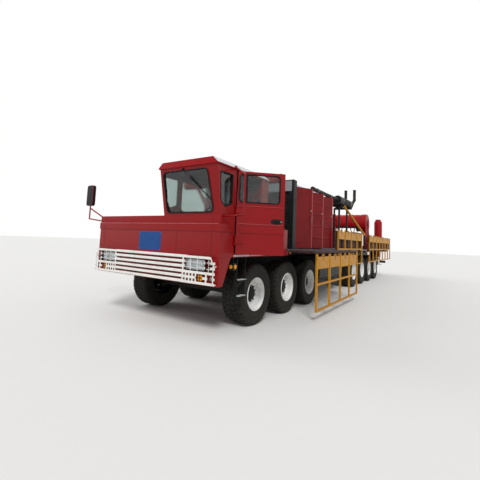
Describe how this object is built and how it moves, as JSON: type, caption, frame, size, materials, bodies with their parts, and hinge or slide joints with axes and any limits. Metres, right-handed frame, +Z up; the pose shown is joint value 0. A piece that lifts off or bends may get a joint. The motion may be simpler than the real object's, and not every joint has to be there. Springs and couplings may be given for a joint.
{
  "type": "workover rig carrier",
  "caption": "Fourteen-wheeled workover rig carrier: offset cab with an open door, engine hood, drawworks, folding walkways and mast supports, its mast not fitted.",
  "frame": {"origin": "on the ground below the middle of the vehicle", "axes": "+Y towards the rear, +X to the vehicle's left, +Z up"},
  "size_m": [4.402, 15.775, 4.0092],
  "materials": {
    "chassis_black": "satin",
    "body_red": "gloss",
    "white_enamel": "gloss",
    "roof_grey": "satin",
    "lamp_glass": "gloss",
    "window_glass": "gloss",
    "cab_trim": "matt",
    "mirror_black": "satin",
    "deck_grey": "satin",
    "radiator_black": "satin",
    "engine_grey": "satin",
    "exhaust_black": "matt",
    "safety_yellow": "gloss",
    "drum_steel": "satin",
    "leg_steel": "gloss",
    "tyre": "matt",
    "locker_grey": "satin"
  },
  "bodies": {
    "root": {"chassis_frame": "chassis_black", "axles": "chassis_black", "tanks_and_lockers": "locker_grey", "bumper": "body_red", "bumper_guard": "white_enamel", "headlamps": "lamp_glass", "nose_body": "body_red", "cab_shell": "body_red", "cab_roof": "roof_grey", "cab_glass": "window_glass", "cab_interior": "cab_trim", "cab_steps": "chassis_black", "mirrors": "mirror_black", "deck": "deck_grey", "radiator": "radiator_black", "engine_hood": "body_red", "engine": "engine_grey", "exhaust": "exhaust_black", "mast_rest": "body_red", "drawworks_frame": "body_red", "mast_base": "body_red", "jack_cylinders": "body_red"},
    "cab_door": {"cab_door": "body_red", "door_glass": "window_glass"},
    "drum": {"drum": "drum_steel"},
    "engine_door_1": {"engine_door_1": "body_red"},
    "engine_door_2": {"engine_door_2": "body_red"},
    "engine_door_3": {"engine_door_3": "body_red"},
    "walkway_left_1": {"walkway_left_1": "deck_grey"},
    "rail_left_1": {"rail_left_1": "safety_yellow"},
    "walkway_left_2": {"walkway_left_2": "deck_grey"},
    "rail_left_2": {"rail_left_2": "safety_yellow"},
    "walkway_left_3": {"walkway_left_3": "deck_grey"},
    "rail_left_3": {"rail_left_3": "safety_yellow"},
    "walkway_right_1": {"walkway_right_1": "deck_grey"},
    "rail_right_1": {"rail_right_1": "safety_yellow"},
    "walkway_right_2": {"walkway_right_2": "deck_grey"},
    "rail_right_2": {"rail_right_2": "safety_yellow"},
    "jack_leg_left": {"jack_leg_left": "leg_steel"},
    "jack_leg_right": {"jack_leg_right": "leg_steel"},
    "knuckle_left_1": {"knuckle_left_1": "chassis_black"},
    "knuckle_left_2": {"knuckle_left_2": "chassis_black"},
    "knuckle_left_3": {"knuckle_left_3": "chassis_black"},
    "knuckle_right_1": {"knuckle_right_1": "chassis_black"},
    "knuckle_right_2": {"knuckle_right_2": "chassis_black"},
    "knuckle_right_3": {"knuckle_right_3": "chassis_black"},
    "wheel_left_1": {"wheel_left_1": "tyre"},
    "wheel_left_2": {"wheel_left_2": "tyre"},
    "wheel_left_3": {"wheel_left_3": "tyre"},
    "wheel_left_4": {"wheel_left_4": "tyre"},
    "wheel_left_5": {"wheel_left_5": "tyre"},
    "wheel_left_6": {"wheel_left_6": "tyre"},
    "wheel_left_7": {"wheel_left_7": "tyre"},
    "wheel_right_1": {"wheel_right_1": "tyre"},
    "wheel_right_2": {"wheel_right_2": "tyre"},
    "wheel_right_3": {"wheel_right_3": "tyre"},
    "wheel_right_4": {"wheel_right_4": "tyre"},
    "wheel_right_5": {"wheel_right_5": "tyre"},
    "wheel_right_6": {"wheel_right_6": "tyre"},
    "wheel_right_7": {"wheel_right_7": "tyre"}
  },
  "joints": [
    {"name": "cab_door_hinge", "type": "hinge", "parent": "root", "child": "cab_door", "pos_m": [1.535, -7.3325, 1.9], "axis": [0, 0, -1], "range_deg": [-48, 30]},
    {"name": "drum_shaft", "type": "hinge", "parent": "root", "child": "drum", "pos_m": [0, 4.8875, 2.62], "axis": [1, 0, 0], "continuous": true},
    {"name": "engine_door_1_hinge", "type": "hinge", "parent": "root", "child": "engine_door_1", "pos_m": [1.12, -4.4725, 2.1], "axis": [0, 0, -1], "range_deg": [-23, 67]},
    {"name": "engine_door_2_hinge", "type": "hinge", "parent": "root", "child": "engine_door_2", "pos_m": [1.12, -3.6325, 2.1], "axis": [0, 0, -1], "range_deg": [-23, 67]},
    {"name": "engine_door_3_hinge", "type": "hinge", "parent": "root", "child": "engine_door_3", "pos_m": [1.12, -2.7925, 2.1], "axis": [0, 0, -1], "range_deg": [-23, 67]},
    {"name": "walkway_left_1_fold", "type": "hinge", "parent": "root", "child": "walkway_left_1", "pos_m": [1.56, -3.7625, 1.3575], "axis": [0, 1, 0], "range_deg": [-90, 0]},
    {"name": "rail_left_1_fold", "type": "hinge", "parent": "walkway_left_1", "child": "rail_left_1", "pos_m": [2.18, -3.7625, 1.2975], "axis": [0, -1, 0], "range_deg": [0, 180]},
    {"name": "walkway_left_2_fold", "type": "hinge", "parent": "root", "child": "walkway_left_2", "pos_m": [1.56, -0.5125, 1.3575], "axis": [0, 1, 0], "range_deg": [0, 90]},
    {"name": "rail_left_2_fold", "type": "hinge", "parent": "walkway_left_2", "child": "rail_left_2", "pos_m": [1.62, -0.5125, 1.9775], "axis": [0, 1, 0], "range_deg": [-270, 0]},
    {"name": "walkway_left_3_fold", "type": "hinge", "parent": "root", "child": "walkway_left_3", "pos_m": [1.56, 5.0875, 1.3575], "axis": [0, 1, 0], "range_deg": [0, 90]},
    {"name": "rail_left_3_fold", "type": "hinge", "parent": "walkway_left_3", "child": "rail_left_3", "pos_m": [1.62, 5.0875, 1.9775], "axis": [0, 1, 0], "range_deg": [-270, 0]},
    {"name": "walkway_right_1_fold", "type": "hinge", "parent": "root", "child": "walkway_right_1", "pos_m": [-1.56, -3.7625, 1.3575], "axis": [0, -1, 0], "range_deg": [-90, 0]},
    {"name": "rail_right_1_fold", "type": "hinge", "parent": "walkway_right_1", "child": "rail_right_1", "pos_m": [-2.18, -3.7625, 1.2975], "axis": [0, 1, 0], "range_deg": [0, 180]},
    {"name": "walkway_right_2_fold", "type": "hinge", "parent": "root", "child": "walkway_right_2", "pos_m": [-1.56, 5.0875, 1.3575], "axis": [0, -1, 0], "range_deg": [0, 90]},
    {"name": "rail_right_2_fold", "type": "hinge", "parent": "walkway_right_2", "child": "rail_right_2", "pos_m": [-1.62, 5.0875, 1.9775], "axis": [0, -1, 0], "range_deg": [-270, 0]},
    {"name": "jack_leg_left_slide", "type": "slide", "parent": "root", "child": "jack_leg_left", "axis": [0, 0, -1], "range_m": [0, 0.55]},
    {"name": "jack_leg_right_slide", "type": "slide", "parent": "root", "child": "jack_leg_right", "axis": [0, 0, -1], "range_m": [0, 0.55]},
    {"name": "steer_left_1", "type": "hinge", "parent": "root", "child": "knuckle_left_1", "pos_m": [1, -6.3725, 0.56], "axis": [0, 0, 1], "range_deg": [-28, 28]},
    {"name": "steer_left_2", "type": "hinge", "parent": "root", "child": "knuckle_left_2", "pos_m": [1, -5.0325, 0.56], "axis": [0, 0, 1], "range_deg": [-23.8, 23.8]},
    {"name": "steer_left_3", "type": "hinge", "parent": "root", "child": "knuckle_left_3", "pos_m": [1, -3.6925, 0.56], "axis": [0, 0, 1], "range_deg": [-19.6, 19.6]},
    {"name": "steer_right_1", "type": "hinge", "parent": "root", "child": "knuckle_right_1", "pos_m": [-1, -6.3725, 0.56], "axis": [0, 0, 1], "range_deg": [-28, 28]},
    {"name": "steer_right_2", "type": "hinge", "parent": "root", "child": "knuckle_right_2", "pos_m": [-1, -5.0325, 0.56], "axis": [0, 0, 1], "range_deg": [-23.8, 23.8]},
    {"name": "steer_right_3", "type": "hinge", "parent": "root", "child": "knuckle_right_3", "pos_m": [-1, -3.6925, 0.56], "axis": [0, 0, 1], "range_deg": [-19.6, 19.6]},
    {"name": "wheel_left_1_spin", "type": "hinge", "parent": "knuckle_left_1", "child": "wheel_left_1", "pos_m": [1.203, -6.3725, 0.56], "axis": [1, 0, 0], "continuous": true},
    {"name": "wheel_left_2_spin", "type": "hinge", "parent": "knuckle_left_2", "child": "wheel_left_2", "pos_m": [1.203, -5.0325, 0.56], "axis": [1, 0, 0], "continuous": true},
    {"name": "wheel_left_3_spin", "type": "hinge", "parent": "knuckle_left_3", "child": "wheel_left_3", "pos_m": [1.203, -3.6925, 0.56], "axis": [1, 0, 0], "continuous": true},
    {"name": "wheel_left_4_spin", "type": "hinge", "parent": "root", "child": "wheel_left_4", "pos_m": [1.203, 0.7875, 0.56], "axis": [1, 0, 0], "continuous": true},
    {"name": "wheel_left_5_spin", "type": "hinge", "parent": "root", "child": "wheel_left_5", "pos_m": [1.203, 2.1275, 0.56], "axis": [1, 0, 0], "continuous": true},
    {"name": "wheel_left_6_spin", "type": "hinge", "parent": "root", "child": "wheel_left_6", "pos_m": [1.203, 3.4675, 0.56], "axis": [1, 0, 0], "continuous": true},
    {"name": "wheel_left_7_spin", "type": "hinge", "parent": "root", "child": "wheel_left_7", "pos_m": [1.203, 4.8075, 0.56], "axis": [1, 0, 0], "continuous": true},
    {"name": "wheel_right_1_spin", "type": "hinge", "parent": "knuckle_right_1", "child": "wheel_right_1", "pos_m": [-1.203, -6.3725, 0.56], "axis": [1, 0, 0], "continuous": true},
    {"name": "wheel_right_2_spin", "type": "hinge", "parent": "knuckle_right_2", "child": "wheel_right_2", "pos_m": [-1.203, -5.0325, 0.56], "axis": [1, 0, 0], "continuous": true},
    {"name": "wheel_right_3_spin", "type": "hinge", "parent": "knuckle_right_3", "child": "wheel_right_3", "pos_m": [-1.203, -3.6925, 0.56], "axis": [1, 0, 0], "continuous": true},
    {"name": "wheel_right_4_spin", "type": "hinge", "parent": "root", "child": "wheel_right_4", "pos_m": [-1.203, 0.7875, 0.56], "axis": [1, 0, 0], "continuous": true},
    {"name": "wheel_right_5_spin", "type": "hinge", "parent": "root", "child": "wheel_right_5", "pos_m": [-1.203, 2.1275, 0.56], "axis": [1, 0, 0], "continuous": true},
    {"name": "wheel_right_6_spin", "type": "hinge", "parent": "root", "child": "wheel_right_6", "pos_m": [-1.203, 3.4675, 0.56], "axis": [1, 0, 0], "continuous": true},
    {"name": "wheel_right_7_spin", "type": "hinge", "parent": "root", "child": "wheel_right_7", "pos_m": [-1.203, 4.8075, 0.56], "axis": [1, 0, 0], "continuous": true}
  ],
  "couplings": [
    {"joint": "rail_left_2_fold", "follows": "walkway_left_2_fold", "ratio": -3},
    {"joint": "rail_left_3_fold", "follows": "walkway_left_3_fold", "ratio": -3},
    {"joint": "rail_right_2_fold", "follows": "walkway_right_2_fold", "ratio": -3},
    {"joint": "steer_left_2", "follows": "steer_left_1", "ratio": 0.85},
    {"joint": "steer_left_3", "follows": "steer_left_1", "ratio": 0.7},
    {"joint": "steer_right_1", "follows": "steer_left_1", "ratio": 1},
    {"joint": "steer_right_2", "follows": "steer_left_1", "ratio": 0.85},
    {"joint": "steer_right_3", "follows": "steer_left_1", "ratio": 0.7}
  ]
}
